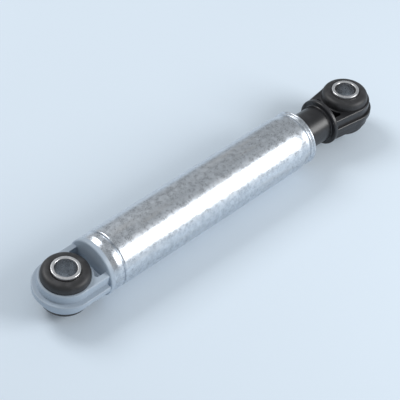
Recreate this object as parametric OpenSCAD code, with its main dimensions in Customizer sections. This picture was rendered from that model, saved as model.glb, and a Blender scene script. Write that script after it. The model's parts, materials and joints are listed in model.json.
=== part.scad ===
// Friction damper for a washing machine drum: a steel tube with a moulded eye at one end
// and a plunger that slides through a greased foam lining at the other.
// The origin is the middle of the lower eye's bolt hole. +X runs along the tube to the
// upper eye, and +Z along the bolts.

/* [Damper] */
// Distance between the two bolt centres with the plunger pushed fully in
closed_len = 167.5; // [140:0.5:220]
// How far the plunger is pulled out of the tube
pulled_out = 16; // [0:0.5:60]
// Angle by which the plunger is turned about the tube
turned = -5; // [-180:1:180]

/* [Tube] */
// Outside diameter of the steel tube
tube_d = 28.4; // [27:0.1:31]
// Wall thickness of the steel tube
tube_wall = 1; // [0.8:0.1:1.2]
// Length over which the tube is drawn in behind the lower disc
foot_taper_l = 3.4; // [2:0.1:5]
// How much the radius is drawn in behind the lower disc
foot_taper_h = 1.1; // [0.5:0.1:1.5]
// Width of the plain band between that taper and the locking groove
foot_band_w = 2.1; // [1:0.1:3]
// How much smaller the band's radius is than the tube's
foot_band_h = 0.1; // [0.05:0.05:0.3]
// Length over which the tube is drawn in at its mouth
mouth_taper_l = 7; // [4:0.1:12]
// How much the radius is drawn in at the mouth
mouth_taper_h = 0.8; // [0.3:0.1:1.2]
// Width of each rolled groove
groove_w = 0.8; // [0.6:0.1:1.2]
// Depth of each rolled groove
groove_h = 0.6; // [0.3:0.1:0.8]
// Radius of the shoulders beside the grooves
shoulder_r = 1; // [0.5:0.1:1.4]
// Width of the bead between the two grooves at the mouth
bead_w = 1; // [0.6:0.1:2]
// Width of the rolled lip at the mouth
lip_w = 1.3; // [1:0.1:2]

/* [Eyes] */
// Height of each eye along its bolt
eye_h = 12.2; // [9:0.1:13]
// Outside diameter of each eye's ring
eye_d = 25.2; // [24.4:0.1:26]
// How far the rib stands out from the lower eye's ring
lower_rib_w = 2.4; // [1:0.1:4]
// How far the rib stands out from the upper eye's ring
upper_rib_w = 1.2; // [0.8:0.1:3]
// Thickness of the rib at mid height
rib_t = 3; // [1.5:0.1:4]
// Radius of the rib's two edges
rib_edge_r = 0.5; // [0.2:0.05:0.7]
// Thickness of the two arms beside each eye
arm_t = 3; // [2:0.1:4]
// Angle by which the upper eye's arms draw in towards the collar
arm_lean = 8; // [0:1:12]
// Radius of the rounded outer edges of the mouldings
edge_r = 0.7; // [0.3:0.1:1]
// Radius of the inner corners of the pockets
pocket_r = 1.2; // [0.5:0.1:2]
// Thickness of the web that closes the pockets at mid height
web_t = 2; // [1:0.1:4]
// Distance from the lower bolt to the front of the lower disc
lower_reach = 14.8; // [14:0.1:20]
// Thickness of the lower disc
disc_t = 2.4; // [1.5:0.1:4]
// Distance from the lower disc to the end of the plug in the tube
plug_l = 12.5; // [11:0.1:18]
// Wall of the hollow plug
plug_wall = 3; // [2:0.1:5]
// Distance from the upper bolt to the back of the collar
upper_reach = 16.6; // [15:0.1:20]

/* [Bushes] */
// Diameter of the bolt hole through each sleeve
bolt_d = 10.4; // [8.2:0.1:11]
// Outside diameter of the steel sleeves
sleeve_d = 13.5; // [12.5:0.1:14]
// Length of the steel sleeves
sleeve_l = 22.8; // [21:0.1:28]
// Diameter of the rubber where it lies on the ring
bush_d = 23; // [21:0.1:24]
// Diameter of the rubber inside the ring
waist_d = 18.6; // [17:0.1:20]
// How far the rubber stands above the ring
bush_rise = 4.2; // [3:0.1:4.5]
// Width of the rubber's crest round the sleeve
crest_w = 0.9; // [0.5:0.1:1.5]

/* [Plunger] */
// Diameter of the plunger's rod
rod_d = 18.6; // [17:0.1:19]
// Wall of the hollow rod
rod_wall = 2.4; // [1.5:0.1:3.5]
// Diameter of the collar that stops the rod at the mouth
collar_d = 23.8; // [22:0.1:26]
// Thickness of the collar
collar_t = 2.2; // [1.5:0.1:4]

/* [Friction cage] */
// Length of the cage that holds the lining in the mouth
cage_l = 23.1; // [20:0.1:40]
// Length of the foam lining
lining_l = 14; // [8:0.1:15]
// Thickness of the foam lining
lining_t = 2.4; // [1:0.1:2.5]
// Width of the joint where the two ends of the lining meet
lining_gap = 1; // [0.2:0.1:3]
// Width of the stop ring on the rod's inner end
stop_w = 3; // [2:0.1:5]
// Depth of the rod's groove for the stop ring
stop_groove_h = 1; // [0.5:0.1:1.4]
// Width of the opening that lets the stop ring clip on
stop_opening = 11; // [8:0.5:14]

/* [Hidden] */
$fn = 96;

// Clearances: between pieces that sit still, and between pieces that run on each other
seat_gap = 0.05;
run_gap = 0.04;
// Room left at each end of the stroke
stroke_gap = 0.3;
// Clearance round the stop ring in the tube
stop_slack = 0.2;
// Overlap that lets a cut run past a face
cut = 1;
// Broken edges of the sleeves and of the bores in the eyes
sleeve_edge = 0.3;
bore_lead = 0.4;
// Chamfer and length of the rod's inner end, in front of the stop ring
rod_tip_chamfer = 0.8;
rod_tip_l = 2;
// How far the middle of the bead and of the lip lies below the neck's surface
bead_sink = 0.1;
// How far the faces of the arms lie below those of the ring
arm_step = 0.1;
// Gap between the end of a rib and the plate in front of it
rib_gap = 0.4;

tube_r = tube_d / 2;
bore_r = tube_r - tube_wall;
rod_r = rod_d / 2;
ring_r = eye_d / 2;
lower_rib_r = ring_r + lower_rib_w;
upper_rib_r = ring_r + upper_rib_w;
arm_in = ring_r - arm_t;

// Places along the tube
tube_x = lower_reach + disc_t;
collar_l = upper_reach + collar_t;
mouth_x = closed_len - collar_l - stroke_gap;
plug_x = tube_x + plug_l;
rod_end_closed = plug_x + stroke_gap;
stop_closed = rod_end_closed + rod_tip_l;
cage_x = mouth_x - cage_l;
stroke = cage_x - stroke_gap - stop_closed - stop_w;
upper_x = closed_len + pulled_out;
rod_x = rod_end_closed + pulled_out;
stop_x = stop_closed + pulled_out;
collar_x = upper_x - collar_l;
cage_front = mouth_x - lip_w / 2;
lining_x = cage_x + (cage_l - lip_w - bead_w - groove_w - lining_l) / 2;

// The tube's locking grooves
foot_band_x = tube_x + foot_taper_l;
foot_groove_x = foot_band_x + foot_band_w;
foot_end_x = foot_groove_x + groove_w + shoulder_r;
lip_x = mouth_x - lip_w;
outer_groove_x = lip_x - groove_w;
bead_x = outer_groove_x - bead_w;
neck_x = bead_x - groove_w;
mouth_taper_x = neck_x - mouth_taper_l;
neck_r = tube_r - mouth_taper_h;

// A round corner: points of an arc about [cx, cy] from angle a0 to a1
function arc(cx, cy, r, a0, a1, steps = 5) =
    [for (i = [0:steps]) [cx + r * cos(a0 + (a1 - a0) * i / steps),
                          cy + r * sin(a0 + (a1 - a0) * i / steps)]];

// A smooth S from [x0, r0] to [x1, r1], level at both ends
function ease(x0, r0, x1, r1, steps = 8) =
    [for (i = [0:steps]) [x0 + (x1 - x0) * i / steps,
                          r0 + (r1 - r0) * (1 - cos(180 * i / steps)) / 2]];

// A rolled groove with a round bottom, from x over its width, below radius r
function groove(x, r, depth, steps = 6) =
    [for (i = [0:steps]) [x + groove_w * i / steps, r - depth * sin(180 * i / steps)]];

// Outline of the tube's outside from the lower disc to the mouth, as [x, radius]
function tube_outline() = concat(
    ease(tube_x, tube_r - foot_taper_h, foot_band_x, tube_r - foot_band_h),
    groove(foot_groove_x, tube_r - foot_band_h, groove_h),
    arc(foot_end_x, tube_r - shoulder_r, shoulder_r, 150, 90),
    ease(mouth_taper_x, tube_r, neck_x, neck_r),
    groove(neck_x, neck_r, groove_h),
    arc(bead_x + bead_w / 2, neck_r - bead_sink, bead_w / 2, 150, 30, 4),
    groove(outer_groove_x, neck_r, groove_h / 2),
    arc(lip_x + lip_w / 2, neck_r - bead_sink, lip_w / 2, 150, 0, 6));

// Turns a profile of [x, radius] points about the X axis
module turn_x(points) {
    rotate([90, 0, 90])
        rotate_extrude()
            polygon([for (p = points) [p[1], p[0]]]);
}

// A cylinder along X from x0 to x1
module rod_along(x0, x1, r) {
    translate([x0, 0, 0])
        rotate([0, 90, 0])
            cylinder(h = x1 - x0, r = r);
}

// What fills the tube's bore between x0 and x1, smaller by gap all round
module bore_fill(x0, x1, gap) {
    outline = [for (p = tube_outline()) [p[0], p[1] - tube_wall - gap]];
    last = len(outline) - 1;
    intersection() {
        turn_x(concat([[outline[0][0], 0]], outline, [[outline[last][0], 0]]));
        rod_along(x0, x1, tube_r + cut);
    }
}

// The steel tube: its bore follows the outside at the thickness of the sheet
module tube() {
    outside = tube_outline();
    last = len(outside) - 1;
    inside = [for (i = [last:-1:0]) [outside[i][0], outside[i][1] - tube_wall]];
    color([0.72, 0.75, 0.78])
        turn_x(concat(outside, inside));
}

// The ring round a bush, with rounded outer edges, about the Z axis
module eye_ring() {
    h = eye_h / 2;
    rotate_extrude()
        polygon(concat([[0, -h]],
                       arc(ring_r - edge_r, -h + edge_r, edge_r, -90, 0),
                       arc(ring_r - edge_r, h - edge_r, edge_r, 0, 90),
                       [[0, h]]));
}

// Cross section of an arm, in Y and Z, with its outer edges rounded
module arm_section() {
    h = eye_h / 2 - arm_step;
    mid = ring_r - arm_step - edge_r;
    polygon(concat([[arm_in, -h]],
                   arc(mid, -h + edge_r, edge_r, -90, 0),
                   arc(mid, h - edge_r, edge_r, 0, 90),
                   [[arm_in, h]]));
}

// Cross section of a rib from the radius inner out to the radius outer, with soft edges
module rib_section(inner, outer) {
    h = rib_t / 2;
    mid = outer - rib_edge_r;
    polygon(concat([[inner, -h]],
                   arc(mid, -h + rib_edge_r, rib_edge_r, -90, 0, 3),
                   arc(mid, h - rib_edge_r, rib_edge_r, 0, 90, 3),
                   [[inner, h]]));
}

// Extrudes a cross section given in Y and Z along X on both sides of an eye, each side
// leaning in by lean degrees and staying tangent to the ring
module both_sides(length, lean) {
    for (side = [0, 1])
        mirror([0, side, 0])
            rotate([90, 0, 90 - lean])
                linear_extrude(length)
                    children();
}

// Half the width at x of a flank that touches the circle of radius r and leans in by lean
function flank(r, x, lean) = (r - x * sin(lean)) / cos(lean);

// A point turned clockwise about the middle of the eye
function turned_in(p, angle) = [p[0] * cos(angle) + p[1] * sin(angle),
                                p[1] * cos(angle) - p[0] * sin(angle)];

// The pocket between the ring and the two arms, seen from above. Its corners are circles
// that lie against the ring and an arm, and it runs in under the ring and out to far.
module pocket_outline(far, lean) {
    corner_y = arm_in - pocket_r;
    corner_x = sqrt(pow(ring_r + pocket_r - seat_gap, 2) - corner_y * corner_y);
    at_corner = turned_in([corner_x, corner_y], lean);
    at_ring = at_corner * (ring_r - cut) / ring_r;
    at_arm = turned_in([corner_x, arm_in], lean);
    half = [at_ring, at_arm, [far, flank(arm_in, far, lean)]];
    polygon(concat(half, [for (i = [2:-1:0]) [half[i][0], -half[i][1]]]));
    for (side = [-1, 1])
        translate([at_corner[0], side * at_corner[1]])
            circle(pocket_r);
}

// A plate between the middles of the two arms, from the bolt to x, centred at mid height
module between_arms(x, height, lean) {
    mid = arm_in + arm_t / 2;
    translate([0, 0, -height / 2])
        linear_extrude(height)
            polygon([[0, -flank(mid, 0, lean)], [x, -flank(mid, x, lean)],
                     [x, flank(mid, x, lean)], [0, flank(mid, 0, lean)]]);
}

// The two arms with the pockets between them, open above and below the web
module eye_arms(far, lean) {
    difference() {
        union() {
            both_sides(far / cos(lean), lean)
                arm_section();
            between_arms(far, eye_h - 2 * arm_step, lean);
        }
        for (side = [0, 1])
            mirror([0, 0, side])
                translate([0, 0, web_t / 2])
                    linear_extrude(eye_h)
                        pocket_outline(far + cut, lean);
    }
}

// An eye without its bore: ring, arms and rib, reaching along +X into a plate at reach
module eye_body(reach, rib_r, lean) {
    eye_ring();
    eye_arms(reach + edge_r, lean);
    both_sides(reach - edge_r - rib_gap, lean)
        rib_section(arm_in, rib_r - arm_step);
    rotate_extrude()
        rib_section(0, rib_r);
}

// The bore that takes a bush, with its edges broken
module bush_bore() {
    h = eye_h / 2;
    r = waist_d / 2 + seat_gap;
    rotate_extrude()
        polygon([[0, -h - cut], [r + bore_lead + cut, -h - cut], [r, -h + bore_lead],
                 [r, h - bore_lead], [r + bore_lead + cut, h + cut], [0, h + cut]]);
}

// The lower eye: ring, arms, the disc that closes the tube and the hollow plug inside it
module lower_eye() {
    color([0.64, 0.68, 0.73])
        difference() {
            union() {
                eye_body(lower_reach, lower_rib_r, 0);
                turn_x(concat([[lower_reach, 0]],
                              arc(lower_reach + edge_r, tube_r - edge_r, edge_r, 180, 90),
                              [[tube_x, tube_r], [tube_x, 0]]));
                bore_fill(tube_x, plug_x, seat_gap);
            }
            bush_bore();
            rod_along(tube_x, plug_x + cut, bore_r - foot_taper_h - plug_wall);
        }
}

// A rubber bush: a waist inside the ring and a full, rounded dome on each face of it
module bush() {
    foot = eye_h / 2 + seat_gap;
    top = eye_h / 2 + bush_rise;
    hole_r = sleeve_d / 2 + run_gap;
    crest_r = sleeve_d / 2 + crest_w;
    power = 2 / 2.8;
    steps = 9;
    dome = [for (i = [0:steps])
            [crest_r + (bush_d / 2 - crest_r) * pow(cos(90 * i / steps), power),
             foot + (top - foot) * pow(sin(90 * i / steps), power)]];
    half = concat([[waist_d / 2, foot]], dome, [[hole_r, top - crest_w]]);
    low = [for (i = [len(half) - 1:-1:0]) [half[i][0], -half[i][1]]];
    color([0.09, 0.09, 0.1])
        rotate_extrude()
            polygon(concat(low, half));
}

// A steel sleeve with its four edges broken
module sleeve() {
    h = sleeve_l / 2;
    r = sleeve_d / 2;
    hole = bolt_d / 2;
    edge = sleeve_edge;
    color([0.78, 0.78, 0.8])
        rotate_extrude()
            polygon([[hole, -h + edge], [hole + edge, -h], [r - edge, -h], [r, -h + edge],
                     [r, h - edge], [r - edge, h], [hole + edge, h], [hole, h - edge]]);
}

module lower_bush() {
    bush();
}

module lower_sleeve() {
    sleeve();
}

// Puts a shape at the upper eye, turned with the plunger
module at_upper_eye() {
    rotate([turned, 0, 0])
        translate([upper_x, 0, 0])
            children();
}

module upper_bush() {
    at_upper_eye()
        bush();
}

module upper_sleeve() {
    at_upper_eye()
        sleeve();
}

// Half of the cage: it fills the mouth of the tube, guides the rod at both ends and
// leaves a ring-shaped room for the lining between them
module cage_half(side) {
    color([0.86, 0.86, 0.82])
        difference() {
            bore_fill(cage_x, cage_front, seat_gap);
            rod_along(cage_x - cut, mouth_x + cut, rod_r + run_gap);
            rod_along(lining_x - seat_gap, lining_x + lining_l + seat_gap,
                      rod_r + lining_t + 2 * seat_gap);
            translate([cage_x - cut, -tube_r, side > 0 ? -tube_r + seat_gap : -seat_gap])
                cube([cage_l + 2 * cut, tube_d, tube_r]);
        }
}

module cage_top() {
    cage_half(1);
}

module cage_bottom() {
    cage_half(-1);
}

// The greased foam strip, bent round the rod with its two ends almost meeting
module friction_lining() {
    color([0.85, 0.8, 0.62])
        difference() {
            rod_along(lining_x, lining_x + lining_l, rod_r + lining_t + seat_gap);
            rod_along(lining_x - cut, lining_x + lining_l + cut, rod_r + run_gap);
            translate([lining_x - cut, rod_r - cut, -lining_gap / 2])
                cube([lining_l + 2 * cut, lining_t + 3 * cut, lining_gap]);
        }
}

// The split ring that clips on the rod's inner end and stops it at the cage
module stop_ring() {
    color([0.2, 0.2, 0.22])
        difference() {
            rod_along(stop_x + seat_gap, stop_x + stop_w - seat_gap, bore_r - stop_slack);
            rod_along(stop_x - cut, stop_x + stop_w + cut, rod_r - stop_groove_h + run_gap);
            translate([stop_x - cut, -stop_opening / 2, -tube_r])
                cube([stop_w + 2 * cut, stop_opening, tube_r]);
        }
}

// The rod and its collar, as a turned shape
module rod_and_collar() {
    groove_r = rod_r - stop_groove_h;
    back_x = collar_x + collar_t;
    rim_r = collar_d / 2;
    turn_x(concat([[rod_x, 0], [rod_x, rod_r - rod_tip_chamfer],
                   [rod_x + rod_tip_chamfer, rod_r],
                   [stop_x, rod_r], [stop_x, groove_r],
                   [stop_x + stop_w, groove_r], [stop_x + stop_w, rod_r]],
                  arc(collar_x - edge_r, rod_r + edge_r, edge_r, -90, 0),
                  arc(collar_x + edge_r, rim_r - edge_r, edge_r, 180, 90),
                  arc(back_x - edge_r, rim_r - edge_r, edge_r, 90, 0),
                  [[back_x, 0]]));
}

// The plunger: a hollow rod, the collar and the upper eye in one moulding
module plunger() {
    color([0.11, 0.11, 0.12])
        difference() {
            union() {
                rod_and_collar();
                at_upper_eye()
                    mirror([1, 0, 0])
                        eye_body(upper_reach, upper_rib_r, arm_lean);
            }
            at_upper_eye()
                bush_bore();
            rod_along(rod_x - cut, collar_x - rod_wall, rod_r - rod_wall);
        }
}

tube();
lower_eye();
lower_bush();
lower_sleeve();
cage_top();
cage_bottom();
friction_lining();
stop_ring();
plunger();
upper_bush();
upper_sleeve();
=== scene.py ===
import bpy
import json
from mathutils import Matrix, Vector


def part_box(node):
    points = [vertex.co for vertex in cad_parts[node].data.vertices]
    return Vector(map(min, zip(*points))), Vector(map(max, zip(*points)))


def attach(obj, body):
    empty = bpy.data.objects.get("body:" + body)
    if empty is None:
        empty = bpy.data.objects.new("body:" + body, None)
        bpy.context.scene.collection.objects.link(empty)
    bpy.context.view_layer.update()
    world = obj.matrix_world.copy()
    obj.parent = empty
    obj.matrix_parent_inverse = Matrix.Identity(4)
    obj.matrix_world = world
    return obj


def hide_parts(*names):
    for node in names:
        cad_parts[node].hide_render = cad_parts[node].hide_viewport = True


bl_info = {
    "name": "Washing machine friction damper",
    "version": (1, 0, 0),
    "blender": (4, 5, 0),
    "location": "View3D > Sidebar > Damper",
    "description": "Dresses a friction damper: rolled tube, moulded eyes, rubber bushes and sleeves",
    "category": "Add Mesh",
}

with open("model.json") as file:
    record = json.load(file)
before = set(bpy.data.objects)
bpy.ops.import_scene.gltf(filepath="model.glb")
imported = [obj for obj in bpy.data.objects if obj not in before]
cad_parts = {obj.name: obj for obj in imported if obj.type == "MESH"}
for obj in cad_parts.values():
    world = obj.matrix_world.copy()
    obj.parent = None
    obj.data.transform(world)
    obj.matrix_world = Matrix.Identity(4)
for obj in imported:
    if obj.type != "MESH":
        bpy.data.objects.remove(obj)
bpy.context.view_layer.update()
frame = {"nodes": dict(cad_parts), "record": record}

import json
import math

import bpy
import numpy as np
from bpy.props import FloatProperty, FloatVectorProperty, IntProperty, PointerProperty
from mathutils import Matrix, Vector

MM = 0.001
TUBE_LOW, TUBE_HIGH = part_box("tube")
SLEEVE_LOW, SLEEVE_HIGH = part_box("lower_sleeve")
BUSH_LOW, BUSH_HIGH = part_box("lower_bush")
LOWER_EYE_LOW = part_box("lower_eye")[0]
MOUNTS = {mount["name"]: mount for mount in frame["record"]["mounts"]}
UPPER_BOLT = MOUNTS["upper_bolt_hole"]
UPPER_X = UPPER_BOLT["pos_m"][0]
# The upper eye's bolt leans in the YZ plane by this angle
TURNED = -math.atan2(UPPER_BOLT["axis"][1], UPPER_BOLT["axis"][2])


class TubeSizes(bpy.types.PropertyGroup):
    """Sizes of the rolled steel tube."""
    wall: FloatProperty(
        name="Wall", description="Thickness of the tube's sheet",
        default=1 * MM, unit="LENGTH")
    foot_taper_l: FloatProperty(
        name="Foot taper", description="Length drawn in behind the lower disc",
        default=3.4 * MM, unit="LENGTH")
    foot_taper_h: FloatProperty(
        name="Foot draw", description="How much the radius is drawn in behind the disc",
        default=1.1 * MM, unit="LENGTH")
    foot_band_w: FloatProperty(
        name="Foot band", description="Width of the band in front of the locking groove",
        default=2.1 * MM, unit="LENGTH")
    foot_band_h: FloatProperty(
        name="Foot band step", description="How far the band lies below the tube's surface",
        default=0.1 * MM, unit="LENGTH")
    mouth_taper_l: FloatProperty(
        name="Mouth taper", description="Length drawn in at the mouth",
        default=7 * MM, unit="LENGTH")
    mouth_taper_h: FloatProperty(
        name="Mouth draw", description="How much the radius is drawn in at the mouth",
        default=0.8 * MM, unit="LENGTH")
    groove_w: FloatProperty(
        name="Groove width", description="Width of each rolled groove",
        default=0.8 * MM, unit="LENGTH")
    groove_h: FloatProperty(
        name="Groove depth", description="Depth of each rolled groove",
        default=0.6 * MM, unit="LENGTH")
    shoulder: FloatProperty(
        name="Shoulder", description="Radius of the shoulder behind the foot groove",
        default=1 * MM, unit="LENGTH")
    bead_w: FloatProperty(
        name="Bead", description="Width of the bead between the two grooves at the mouth",
        default=1 * MM, unit="LENGTH")
    lip_w: FloatProperty(
        name="Lip", description="Width of the rolled lip at the mouth",
        default=1.3 * MM, unit="LENGTH")
    bead_sink: FloatProperty(
        name="Bead sink", description="How far the middle of bead and lip lies below the neck",
        default=0.1 * MM, unit="LENGTH")
    segments: IntProperty(
        name="Segments", description="Number of steps round the tube", default=192, min=24)


class BushSizes(bpy.types.PropertyGroup):
    """Sizes of the rubber bushes and their steel sleeves."""
    foot: FloatProperty(
        name="Foot", description="Height at which the dome starts, from the eye's middle",
        default=6.15 * MM, unit="LENGTH")
    waist_r: FloatProperty(
        name="Waist", description="Radius of the rubber inside the ring",
        default=9.3 * MM, unit="LENGTH")
    crest_w: FloatProperty(
        name="Crest", description="Width of the rubber's crest round the sleeve",
        default=0.9 * MM, unit="LENGTH")
    fullness: FloatProperty(
        name="Fullness", description="Power of the dome's superellipse: 2 is an ellipse",
        default=2.8, min=1)
    play: FloatProperty(
        name="Play", description="Clearance between the rubber and the sleeve",
        default=0.04 * MM, unit="LENGTH")
    bolt_r: FloatProperty(
        name="Bolt hole", description="Radius of the hole through each sleeve",
        default=MOUNTS["lower_bolt_hole"]["dims"]["r_mm"] * MM, unit="LENGTH")
    sleeve_edge: FloatProperty(
        name="Sleeve edge", description="Radius of the sleeve's broken edges",
        default=0.3 * MM, unit="LENGTH")
    segments: IntProperty(
        name="Segments", description="Number of steps round each bush", default=128, min=24)


class Finishes(bpy.types.PropertyGroup):
    """Colours of the pieces, as linear light."""
    zinc: FloatVectorProperty(
        name="Zinc", description="Colour of the zinc plating",
        default=(0.66, 0.70, 0.75), size=3, subtype="COLOR", min=0, max=1)
    grey_plastic: FloatVectorProperty(
        name="Grey plastic", description="Colour of the lower eye",
        default=(0.40, 0.47, 0.55), size=3, subtype="COLOR", min=0, max=1)
    black_plastic: FloatVectorProperty(
        name="Black plastic", description="Colour of the plunger",
        default=(0.012, 0.012, 0.014), size=3, subtype="COLOR", min=0, max=1)
    rubber: FloatVectorProperty(
        name="Rubber", description="Colour of the bushes",
        default=(0.022, 0.022, 0.024), size=3, subtype="COLOR", min=0, max=1)
    sleeve: FloatVectorProperty(
        name="Sleeve steel", description="Colour of the sleeves' turned ends",
        default=(0.76, 0.76, 0.77), size=3, subtype="COLOR", min=0, max=1)
    cage: FloatVectorProperty(
        name="Cage", description="Colour of the two cage shells",
        default=(0.74, 0.73, 0.66), size=3, subtype="COLOR", min=0, max=1)
    foam: FloatVectorProperty(
        name="Foam", description="Colour of the greased foam lining",
        default=(0.66, 0.55, 0.30), size=3, subtype="COLOR", min=0, max=1)
    ring: FloatVectorProperty(
        name="Stop ring", description="Colour of the stop ring",
        default=(0.035, 0.035, 0.04), size=3, subtype="COLOR", min=0, max=1)


class StageSettings(bpy.types.PropertyGroup):
    """Camera, lamps and floor."""
    aim: FloatVectorProperty(
        name="Aim", description="Point that the camera looks at",
        default=(0.0820, -0.00094, 0), size=3, subtype="TRANSLATION")
    distance: FloatProperty(
        name="Distance", description="From the aim to the camera", default=0.7079, unit="LENGTH")
    heading: FloatProperty(
        name="Heading", description="Direction of the camera seen from above, from +X",
        default=math.radians(219.92), subtype="ANGLE")
    elevation: FloatProperty(
        name="Elevation", description="Height angle of the camera",
        default=math.radians(46.66), subtype="ANGLE")
    roll: FloatProperty(
        name="Roll", description="Turn of the camera about its own view",
        default=math.radians(8.38), subtype="ANGLE")
    lens: FloatProperty(
        name="Lens", description="Focal length in millimetres on a 36 mm sensor", default=136.16)
    key_power: FloatProperty(
        name="Key", description="Power of the large softbox in watts", default=4.2)
    fill_power: FloatProperty(
        name="Fill", description="Power of the softbox behind in watts", default=3.4)
    world: FloatProperty(
        name="World", description="Brightness of the surroundings", default=0.42)
    floor: FloatVectorProperty(
        name="Floor", description="Colour of the floor",
        default=(0.70, 0.79, 0.88), size=3, subtype="COLOR", min=0, max=1)


class Wire:
    """A value running through a material: arithmetic on it adds Math nodes."""

    def __init__(self, finish, socket):
        self.finish = finish
        self.socket = socket

    def _math(self, operation, first, second):
        return self.finish.node("Math", {"operation": operation}, {0: first, 1: second})

    def __add__(self, other):
        return self._math("ADD", self, other)

    def __radd__(self, other):
        return self._math("ADD", other, self)

    def __sub__(self, other):
        return self._math("SUBTRACT", self, other)

    def __rsub__(self, other):
        return self._math("SUBTRACT", other, self)

    def __mul__(self, other):
        return self._math("MULTIPLY", self, other)

    def __rmul__(self, other):
        return self._math("MULTIPLY", other, self)


class Finish:
    """A material in the making, with one method for any node and a few for usual ones."""

    def __init__(self, name, **constants):
        self.material = bpy.data.materials.new(name)
        self.material.use_nodes = True
        self.tree = self.material.node_tree
        self.shader = self.tree.nodes["Principled BSDF"]
        for socket, value in constants.items():
            self.shader.inputs[socket.replace("_", " ")].default_value = value
        self.place = self.node("TexCoord", {}, {}, "Object")

    def node(self, kind, settings, sockets, output=0):
        node = self.tree.nodes.new("ShaderNode" + kind)
        for name, value in settings.items():
            setattr(node, name, value)
        for key, value in sockets.items():
            if isinstance(value, Wire):
                self.tree.links.new(value.socket, node.inputs[key])
            else:
                node.inputs[key].default_value = value
        return Wire(self, node.outputs[output])

    def noise(self, scale, detail=3.0, where=None):
        """Cloudy values from 0 to 1, with about scale clouds a metre."""
        sockets = {"Vector": where or self.place, "Scale": scale, "Detail": detail}
        return self.node("TexNoise", {}, sockets)

    def stretch(self, factors):
        """Object coordinates drawn out or pressed along each axis."""
        return self.node("Mapping", {}, {"Vector": self.place, "Scale": factors})

    def band(self, value, low, high):
        """0 below low, 1 above high, and smooth between."""
        sockets = {"Value": value, "From Min": low, "From Max": high}
        return self.node("MapRange", {"interpolation_type": "SMOOTHSTEP"}, sockets)

    def mix(self, factor, first, second):
        """The colour first where factor is 0, and second where it is 1."""
        colours = {6: rgba(first), 7: rgba(second)}
        return self.node("Mix", {"data_type": "RGBA"}, {0: factor, **colours}, 2)

    def bump(self, height, distance, strength=1.0):
        """A normal tilted by a height, whose full range is distance metres."""
        sockets = {"Strength": strength, "Distance": distance, "Height": height}
        return self.node("Bump", {}, sockets)

    def feed(self, **wires):
        """Links wires to the shader's sockets and gives the finished material."""
        for socket, wire in wires.items():
            self.tree.links.new(wire.socket, self.shader.inputs[socket.replace("_", " ")])
        return self.material


def rgba(colour):
    """A colour with its fourth number, or the wire that carries one."""
    if isinstance(colour, Wire):
        return colour
    return (*colour[:3], 1.0)


def shade(colour, factor):
    """A colour made darker or lighter by a factor."""
    return tuple(min(1.0, part * factor) for part in colour)


def zinc_steel(colour):
    """Bright zinc plating: a fine crystalline mottle in colour, gloss and height."""
    finish = Finish("zinc_steel", Metallic=1.0)
    grain = finish.noise(2100, 4)
    cloud = finish.noise(420, 3)
    drawn = finish.noise(160, 2, finish.stretch((0.12, 1, 1)))
    mottle = finish.band(0.55 * grain + 0.45 * cloud, 0.38, 0.64)
    tint = finish.mix(mottle, shade(colour, 0.80), shade(colour, 1.12))
    warm = (colour[0] * 1.06, colour[1] * 1.0, colour[2] * 0.94)
    surface = finish.mix(finish.band(drawn, 0.52, 0.80), tint, warm)
    roughness = 0.24 + 0.14 * mottle + 0.05 * drawn
    height = 0.7 * grain + 0.3 * cloud
    return finish.feed(Base_Color=surface, Roughness=roughness,
                       Normal=finish.bump(height, 0.012 * MM))


def grey_plastic(colour):
    """Light grey moulded plastic: flow clouds, a satin skin and some grime."""
    finish = Finish("grey_plastic", Specular_IOR_Level=0.5)
    flow = finish.noise(70, 2)
    skin = finish.noise(2600, 2)
    specks = finish.band(finish.noise(900, 2), 0.66, 0.74)
    tone = finish.mix(flow, shade(colour, 0.92), shade(colour, 1.06))
    surface = finish.mix(0.25 * specks, tone, shade(colour, 0.6))
    return finish.feed(Base_Color=surface, Roughness=0.34 + 0.12 * flow,
                       Normal=finish.bump(skin, 0.006 * MM))


def black_plastic(colour):
    """Black moulded plastic with a half gloss, dulled in clouds by handling."""
    finish = Finish("black_plastic", Specular_IOR_Level=0.55)
    handled = finish.noise(120, 3)
    skin = finish.noise(1900, 2)
    streak = finish.noise(500, 2, finish.stretch((0.08, 1, 1)))
    surface = finish.mix(finish.band(handled, 0.45, 0.75), colour, shade(colour, 2.2))
    roughness = 0.22 + 0.16 * handled + 0.06 * streak
    return finish.feed(Base_Color=surface, Roughness=roughness,
                       Normal=finish.bump(skin, 0.006 * MM))


def rubber(colour):
    """Black rubber: a satin skin with a fine grain and a breath of bloom."""
    finish = Finish("rubber", Specular_IOR_Level=0.5)
    bloom = finish.noise(260, 3)
    grain = finish.noise(2400, 3)
    surface = finish.mix(finish.band(bloom, 0.45, 0.75), colour, shade(colour, 2.0))
    return finish.feed(Base_Color=surface, Roughness=0.42 + 0.16 * bloom,
                       Normal=finish.bump(grain, 0.010 * MM))


def sleeve_steel(name, colour, place):
    """Turned steel: fine rings about the bolt's axis, and a brushed change of gloss."""
    finish = Finish(name, Metallic=1.0)
    turn = place.to_euler()
    local = finish.node("Mapping", {"vector_type": "TEXTURE"}, {
        "Vector": finish.place, "Location": place.translation, "Rotation": turn})
    rings = finish.node("TexWave", {"wave_type": "RINGS", "rings_direction": "Z"}, {
        "Vector": local, "Scale": 900.0, "Distortion": 0.6, "Detail": 2.0,
        "Detail Scale": 2.0})
    wear = finish.noise(500, 3)
    surface = finish.mix(wear, shade(colour, 0.84), shade(colour, 1.14))
    return finish.feed(Base_Color=surface, Roughness=0.20 + 0.12 * rings + 0.10 * wear,
                       Normal=finish.bump(rings, 0.006 * MM))


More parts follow.
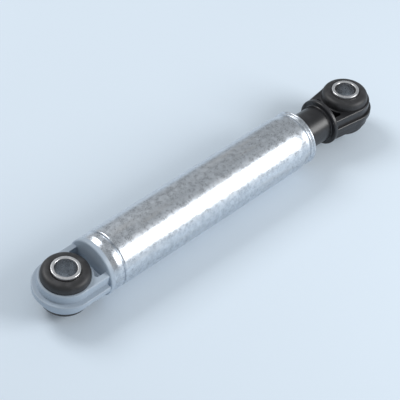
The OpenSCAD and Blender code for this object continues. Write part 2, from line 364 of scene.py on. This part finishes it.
def cage_plastic(colour):
    """Natural white plastic, slightly waxy and stained by grease."""
    finish = Finish("cage_plastic", Specular_IOR_Level=0.5)
    stain = finish.noise(180, 3)
    skin = finish.noise(1800, 2)
    surface = finish.mix(finish.band(stain, 0.45, 0.75), colour, shade(colour, 0.72))
    return finish.feed(Base_Color=surface, Roughness=0.36 + 0.14 * stain,
                       Normal=finish.bump(skin, 0.008 * MM))


def greased_foam(colour):
    """Open foam soaked in grease: small pores, glossy where the grease stands."""
    finish = Finish("greased_foam", Specular_IOR_Level=0.5)
    sockets = {"Vector": finish.place, "Scale": 1400.0}
    pores = finish.node("TexVoronoi", {"feature": "F1"}, sockets, "Distance")
    grease = finish.noise(300, 3)
    # The pore hollows are painted darker, down to half the colour at their centres: painted shade in
    # the pores.
    surface = finish.mix(finish.band(pores, 0.2, 0.6), shade(colour, 0.5), colour)
    return finish.feed(Base_Color=surface, Roughness=0.30 + 0.35 * grease,
                       Normal=finish.bump(pores, 0.10 * MM))


def ring_plastic(colour):
    """Dark grey plastic with a fine moulded grain."""
    finish = Finish("ring_plastic", Specular_IOR_Level=0.5)
    cloud = finish.noise(300, 3)
    skin = finish.noise(1800, 2)
    surface = finish.mix(cloud, shade(colour, 0.8), shade(colour, 1.5))
    return finish.feed(Base_Color=surface, Roughness=0.38 + 0.14 * cloud,
                       Normal=finish.bump(skin, 0.010 * MM))


def floor_paint(colour):
    """Matt pale paper with a barely visible cloud."""
    finish = Finish("floor_paint", Specular_IOR_Level=0.2)
    cloud = finish.noise(6, 2)
    surface = finish.mix(cloud, shade(colour, 0.985), shade(colour, 1.015))
    return finish.feed(Base_Color=surface, Roughness=0.85 + 0.05 * cloud)


def arc(centre, radius, start, end, steps):
    """Points on a circle about centre, as its angle runs from start to end degrees."""
    angle = np.radians(np.linspace(start, end, steps))
    return np.column_stack((centre[0] + radius * np.cos(angle),
                            centre[1] + radius * np.sin(angle)))


def ease(x0, r0, x1, r1, steps):
    """A half cosine wave from (x0, r0) to (x1, r1), level at both ends."""
    t = np.linspace(0, 1, steps)
    return np.column_stack((x0 + (x1 - x0) * t,
                            r0 + (r1 - r0) * (1 - np.cos(np.pi * t)) / 2))


def groove(x, r, width, depth, steps):
    """A half sine wave below the radius r, from x over the width."""
    t = np.linspace(0, 1, steps)
    return np.column_stack((x + width * t, r - depth * np.sin(np.pi * t)))


def turned_surface(loop, segments):
    """The ring-shaped surface that a closed loop of (radius, height) points sweeps about
    Z: a point is (r cos a, r sin a, h), with the angle a in even steps. The loop runs
    anticlockwise, and each quad joins two neighbours on it at two neighbouring angles."""
    angle = np.arange(segments) * (2 * np.pi / segments)
    radius, height = loop[:, :1], loop[:, 1:]
    points = np.stack((radius * np.cos(angle), radius * np.sin(angle),
                       height + 0 * angle), axis=-1).reshape(-1, 3)
    row, column = np.meshgrid(np.arange(len(loop)), np.arange(segments), indexing="ij")
    next_row, next_column = (row + 1) % len(loop), (column + 1) % segments
    quads = np.stack((row * segments + column, row * segments + next_column,
                      next_row * segments + next_column, next_row * segments + column),
                     axis=-1).reshape(-1, 4)
    return points, quads


def without_repeats(loop):
    """The loop without points that repeat the one before."""
    step = np.linalg.norm(loop - np.roll(loop, 1, axis=0), axis=1)
    return loop[step > 1e-7]


def add_turned(name, loop, segments, place, body, material):
    """Makes the piece that a loop sweeps, set in place by a matrix, smooth but for its
    sharp corners, and lets it ride on its body."""
    points, quads = turned_surface(without_repeats(loop), segments)
    turn = np.array(place.to_3x3())
    mesh = bpy.data.meshes.new(name)
    mesh.from_pydata((points @ turn.T + np.array(place.translation)).tolist(), [],
                     quads.tolist())
    mesh.shade_smooth()
    mesh.set_sharp_from_angle(angle=math.radians(38))
    mesh.materials.append(material)
    piece = bpy.data.objects.new(name, mesh)
    bpy.context.scene.collection.objects.link(piece)
    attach(piece, body)
    return piece


def tube_outline(sizes):
    """The tube's outside as (place along the tube, radius): drawn in behind the disc, a
    groove and its shoulder, the plain body, drawn in at the mouth, then groove, bead,
    shallow groove and lip."""
    radius = TUBE_HIGH.y
    band_r = radius - sizes.foot_band_h
    band_x = TUBE_LOW.x + sizes.foot_taper_l
    groove_x = band_x + sizes.foot_band_w
    lip_x = TUBE_HIGH.x - sizes.lip_w
    outer_groove_x = lip_x - sizes.groove_w
    bead_x = outer_groove_x - sizes.bead_w
    neck_x = bead_x - sizes.groove_w
    neck_r = radius - sizes.mouth_taper_h
    crest_r = neck_r - sizes.bead_sink
    return np.vstack((
        ease(TUBE_LOW.x, radius - sizes.foot_taper_h, band_x, band_r, 24),
        groove(groove_x, band_r, sizes.groove_w, sizes.groove_h, 16),
        arc((groove_x + sizes.groove_w + sizes.shoulder, radius - sizes.shoulder),
            sizes.shoulder, 150, 90, 10),
        ease(neck_x - sizes.mouth_taper_l, radius, neck_x, neck_r, 24),
        groove(neck_x, neck_r, sizes.groove_w, sizes.groove_h, 16),
        arc((bead_x + sizes.bead_w / 2, crest_r), sizes.bead_w / 2, 150, 30, 12),
        groove(outer_groove_x, neck_r, sizes.groove_w, sizes.groove_h / 2, 12),
        arc((lip_x + sizes.lip_w / 2, crest_r), sizes.lip_w / 2, 150, 0, 16)))


def bush_loop(sizes, top, outer_r, sleeve_r):
    """The rubber's section: a straight waist, and above and below it a dome on a
    superellipse from the ring's face in to the crest round the sleeve."""
    crest_r = sleeve_r + sizes.crest_w
    power = 2 / sizes.fullness
    angle = np.linspace(0, np.pi / 2, 40)
    dome = np.column_stack((
        crest_r + (outer_r - crest_r) * np.cos(angle) ** power,
        sizes.foot + (top - sizes.foot) * np.sin(angle) ** power))
    crest = arc((crest_r, top - sizes.crest_w), sizes.crest_w - sizes.play, 90, 180, 10)
    half = np.vstack(([[sizes.waist_r, sizes.foot]], dome, crest))
    return np.vstack((half[::-1] * (1, -1), half))


def sleeve_loop(sizes, top, outer_r):
    """The sleeve's section: a rectangle whose four corners are quarter circles."""
    edge = sizes.sleeve_edge
    high = np.vstack((arc((outer_r - edge, top - edge), edge, 0, 90, 7),
                      arc((sizes.bolt_r + edge, top - edge), edge, 90, 180, 7)))
    return np.vstack((high, high[::-1] * (1, -1)))


def give_finish(node, material):
    """Puts a material on a CAD node's own object."""
    mesh = frame["nodes"][node].data
    mesh.materials.clear()
    mesh.materials.append(material)


def softbox(name, direction, distance, size, power):
    """A square lamp at a distance from the object's middle, which faces it."""
    lamp = bpy.data.lights.new(name, "AREA")
    lamp.shape = "SQUARE"
    lamp.size = size
    lamp.energy = power
    box = bpy.data.objects.new(name, lamp)
    outward = Vector(direction).normalized()
    box.location = Vector(bpy.context.scene.damper_stage.aim) + distance * outward
    box.rotation_euler = outward.to_track_quat("Z", "Y").to_euler()
    bpy.context.scene.collection.objects.link(box)


def eye_places():
    """Name of each eye with its housing body, its sleeve's body and its place."""
    upper = Matrix.Translation((UPPER_X, 0, 0)) @ Matrix.Rotation(TURNED, 4, "X")
    return (("lower", "housing", "lower_bolt_sleeve", Matrix.Identity(4)),
            ("upper", "plunger", "upper_bolt_sleeve", upper))


class DAMPER_OT_tube(bpy.types.Operator):
    """Rolls the zinc plated tube"""
    bl_idname = "damper.tube"
    bl_label = "Tube"

    def execute(self, context):
        sizes = context.scene.damper_tube
        outside = tube_outline(sizes)
        inside = outside[::-1] - (0, sizes.wall)
        loop = np.vstack((outside, inside))[:, ::-1]
        along_x = Matrix(((0, 0, 1), (1, 0, 0), (0, 1, 0))).to_4x4()
        material = zinc_steel(context.scene.damper_finishes.zinc)
        piece = add_turned("rolled_tube", loop, sizes.segments, along_x, "housing",
                           material)
        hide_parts("tube")
        return {"FINISHED"}


class DAMPER_OT_bushes(bpy.types.Operator):
    """Moulds the two rubber bushes"""
    bl_idname = "damper.bushes"
    bl_label = "Rubber bushes"

    def execute(self, context):
        sizes = context.scene.damper_bush
        loop = bush_loop(sizes, BUSH_HIGH.z, BUSH_HIGH.x, SLEEVE_HIGH.x)
        material = rubber(context.scene.damper_finishes.rubber)
        for eye, body, _, place in eye_places():
            piece = add_turned(f"{eye}_rubber_bush", loop, sizes.segments, place, body,
                               material)
            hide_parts(f"{eye}_bush")
        return {"FINISHED"}


class DAMPER_OT_sleeves(bpy.types.Operator):
    """Turns the two steel sleeves"""
    bl_idname = "damper.sleeves"
    bl_label = "Steel sleeves"

    def execute(self, context):
        sizes = context.scene.damper_bush
        colour = context.scene.damper_finishes.sleeve
        loop = sleeve_loop(sizes, SLEEVE_HIGH.z, SLEEVE_HIGH.x)
        for eye, _, body, place in eye_places():
            material = sleeve_steel(f"{eye}_sleeve_steel", colour, place)
            piece = add_turned(f"{eye}_steel_sleeve", loop, sizes.segments, place, body,
                               material)
            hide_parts(f"{eye}_sleeve")
        return {"FINISHED"}


class DAMPER_OT_mouldings(bpy.types.Operator):
    """Finishes the grey lower eye and the black plunger"""
    bl_idname = "damper.mouldings"
    bl_label = "Moulded eyes"

    def execute(self, context):
        finishes = context.scene.damper_finishes
        give_finish("lower_eye", grey_plastic(finishes.grey_plastic))
        give_finish("plunger", black_plastic(finishes.black_plastic))
        return {"FINISHED"}


class DAMPER_OT_friction_parts(bpy.types.Operator):
    """Finishes the cage, the foam lining and the stop ring inside the tube"""
    bl_idname = "damper.friction_parts"
    bl_label = "Friction parts"

    def execute(self, context):
        finishes = context.scene.damper_finishes
        shells = cage_plastic(finishes.cage)
        give_finish("cage_top", shells)
        give_finish("cage_bottom", shells)
        give_finish("friction_lining", greased_foam(finishes.foam))
        give_finish("stop_ring", ring_plastic(finishes.ring))
        return {"FINISHED"}


class DAMPER_OT_stage(bpy.types.Operator):
    """Sets floor, soft lamps, surroundings and camera"""
    bl_idname = "damper.stage"
    bl_label = "Stage"

    def execute(self, context):
        scene = context.scene
        stage = scene.damper_stage
        floor_mesh = bpy.data.meshes.new("floor")
        reach = 3.0
        level = TUBE_LOW.z
        corners = [(-reach, -reach, level), (reach, -reach, level),
                   (reach, reach, level), (-reach, reach, level)]
        floor_mesh.from_pydata(corners, [], [(0, 1, 2, 3)])
        floor_mesh.materials.append(floor_paint(stage.floor))
        floor = bpy.data.objects.new("floor", floor_mesh)
        scene.collection.objects.link(floor)
        softbox("key_softbox", (0.53, -0.69, 0.50), 0.80, 0.42, stage.key_power)
        softbox("back_softbox", (-0.20, 0.80, 0.90), 0.90, 0.40, stage.fill_power)
        world = bpy.data.worlds.new("surroundings")
        world.use_nodes = True
        air = world.node_tree.nodes["Background"]
        air.inputs["Color"].default_value = (0.93, 0.97, 1.0, 1.0)
        air.inputs["Strength"].default_value = stage.world
        scene.world = world
        self.add_camera(scene, stage)
        scene.view_settings.view_transform = "Standard"
        return {"FINISHED"}

    def add_camera(self, scene, stage):
        """A camera at a heading, an elevation and a distance from its aim. Its right and
        up axes are turned by the roll about the line of sight."""
        flat = math.cos(stage.elevation)
        outward = Vector((flat * math.cos(stage.heading), flat * math.sin(stage.heading),
                          math.sin(stage.elevation)))
        level = Vector((-math.sin(stage.heading), math.cos(stage.heading), 0))
        above = outward.cross(level)
        right = math.cos(stage.roll) * level + math.sin(stage.roll) * above
        up = math.cos(stage.roll) * above - math.sin(stage.roll) * level
        lens = bpy.data.cameras.new("camera")
        lens.lens = stage.lens
        lens.sensor_width = 36
        lens.clip_start = 0.01
        camera = bpy.data.objects.new("camera", lens)
        turn = Matrix((right, up, outward)).transposed().to_4x4()
        camera.matrix_world = Matrix.Translation(
            Vector(stage.aim) + stage.distance * outward) @ turn
        scene.collection.objects.link(camera)
        scene.camera = camera


OPERATORS = (DAMPER_OT_tube, DAMPER_OT_bushes, DAMPER_OT_sleeves, DAMPER_OT_mouldings,
             DAMPER_OT_friction_parts, DAMPER_OT_stage)
GROUPS = {"damper_tube": TubeSizes, "damper_bush": BushSizes,
          "damper_finishes": Finishes, "damper_stage": StageSettings}


class DAMPER_PT_panel(bpy.types.Panel):
    """Lists the damper's operators and settings"""
    bl_label = "Damper"
    bl_idname = "DAMPER_PT_panel"
    bl_space_type = "VIEW_3D"
    bl_region_type = "UI"
    bl_category = "Damper"

    def draw(self, context):
        for operator in OPERATORS:
            self.layout.operator(operator.bl_idname)
        for attribute in GROUPS:
            group = getattr(context.scene, attribute)
            box = self.layout.box()
            for name in group.__annotations__:
                box.prop(group, name)


def register():
    for attribute, group in GROUPS.items():
        bpy.utils.register_class(group)
        setattr(bpy.types.Scene, attribute, PointerProperty(type=group))
    for shown in (*OPERATORS, DAMPER_PT_panel):
        bpy.utils.register_class(shown)


def unregister():
    for shown in reversed((*OPERATORS, DAMPER_PT_panel)):
        bpy.utils.unregister_class(shown)
    for attribute, group in reversed(GROUPS.items()):
        delattr(bpy.types.Scene, attribute)
        bpy.utils.unregister_class(group)


def main():
    register()
    bpy.ops.damper.tube()
    bpy.ops.damper.bushes()
    bpy.ops.damper.sleeves()
    bpy.ops.damper.mouldings()
    bpy.ops.damper.friction_parts()
    bpy.ops.damper.stage()


if __name__ == "__main__":
    main()
